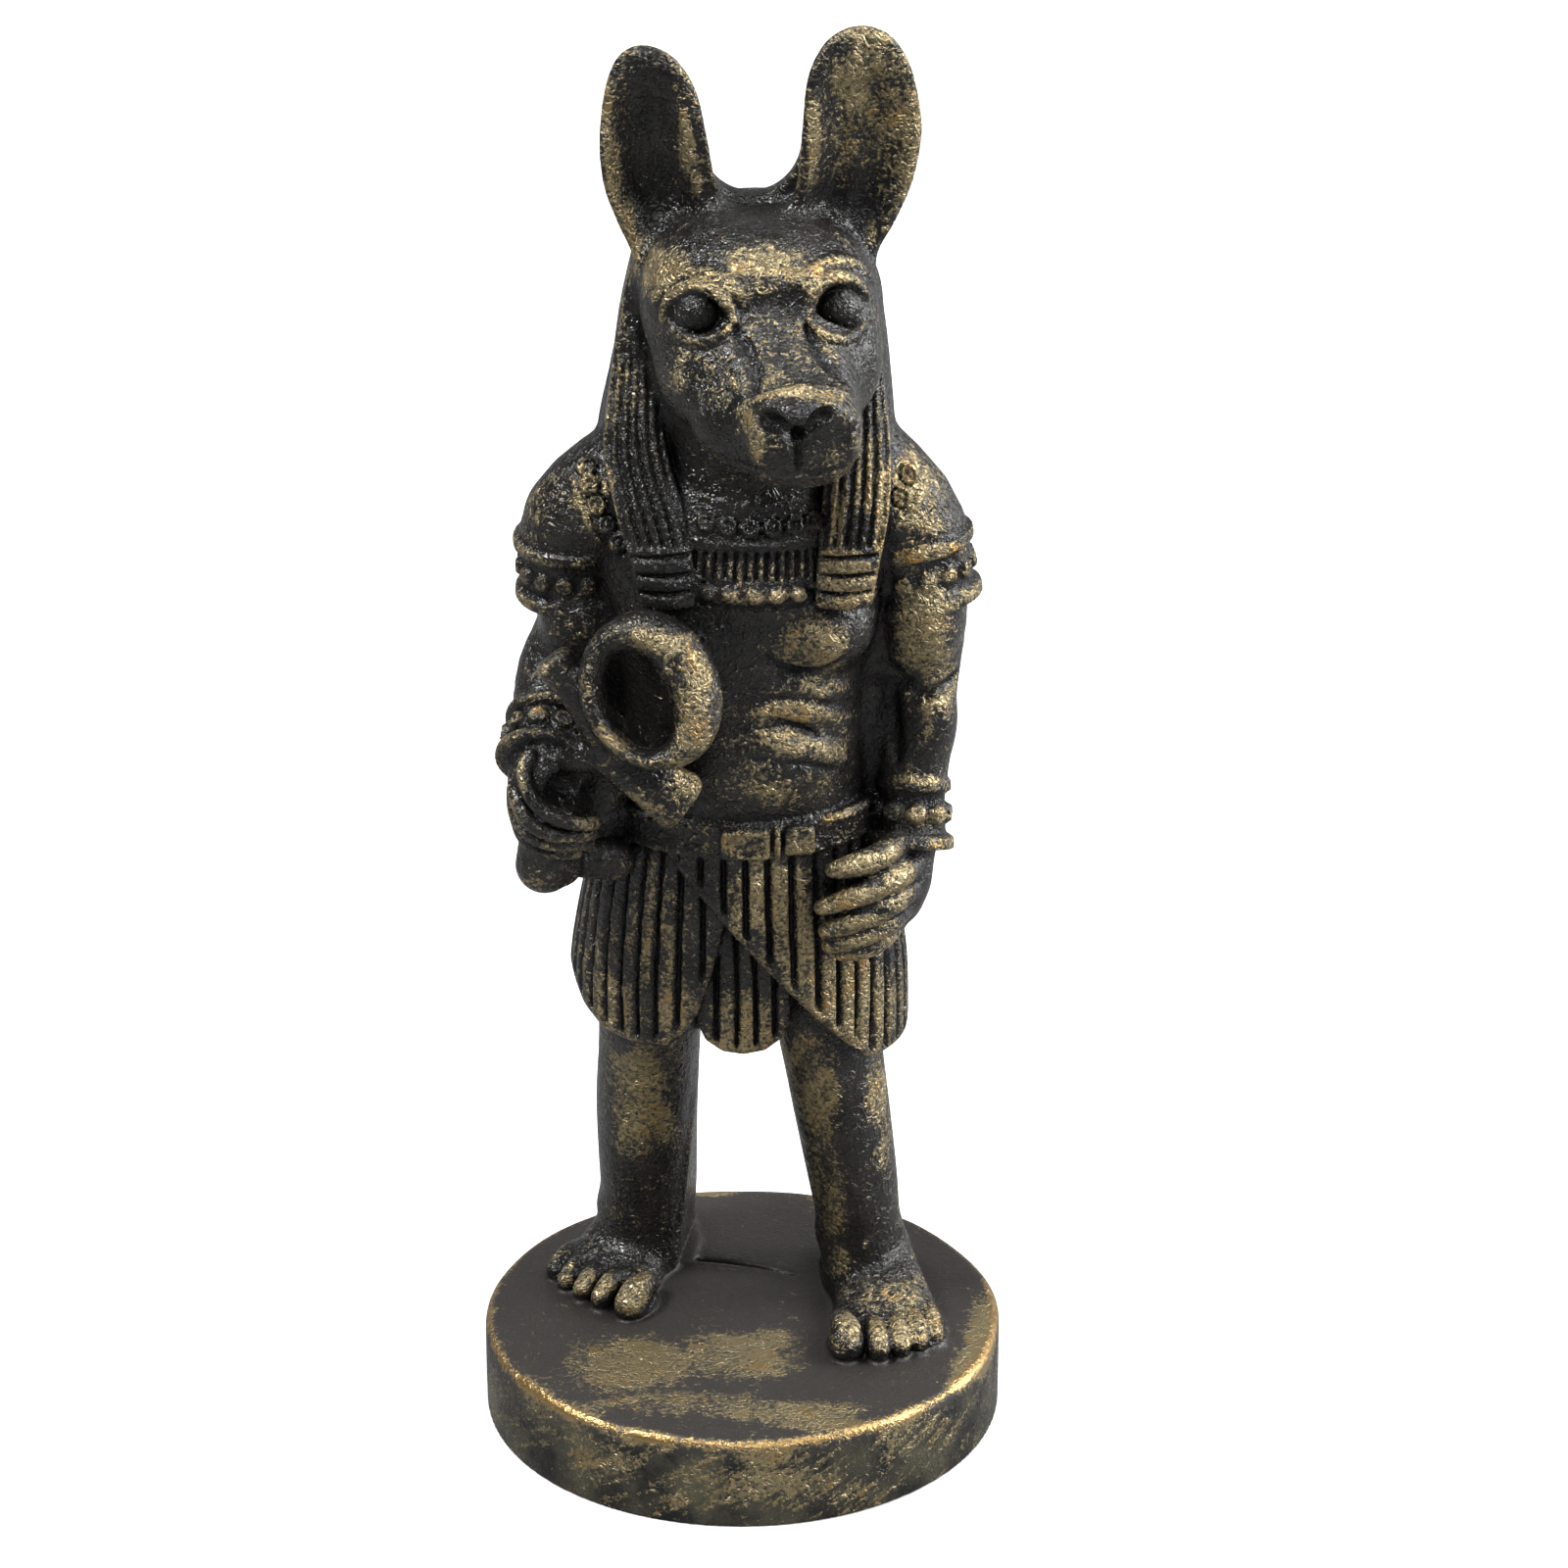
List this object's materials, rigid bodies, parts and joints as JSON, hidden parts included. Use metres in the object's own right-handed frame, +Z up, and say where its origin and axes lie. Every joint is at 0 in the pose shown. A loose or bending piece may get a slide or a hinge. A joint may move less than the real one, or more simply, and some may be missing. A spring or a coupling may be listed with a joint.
{
  "type": "standing jackal-headed figurine",
  "caption": "Small cast figurine of a standing jackal-headed Anubis in a pleated kilt and striped headcloth, holding a looped cross, on a plain round base.",
  "frame": {"origin": "centre of the round base's underside", "axes": "+Z up to the ear tips; the figure faces -Y with its right hand at -X"},
  "size_m": [0.0434, 0.0434, 0.12],
  "materials": {
    "painted_resin": "satin brown-black casting resin, dry-brushed with antique gold on the raised carving"
  },
  "bodies": {
    "root": {"figurine": "painted_resin"}
  },
  "joints": []
}
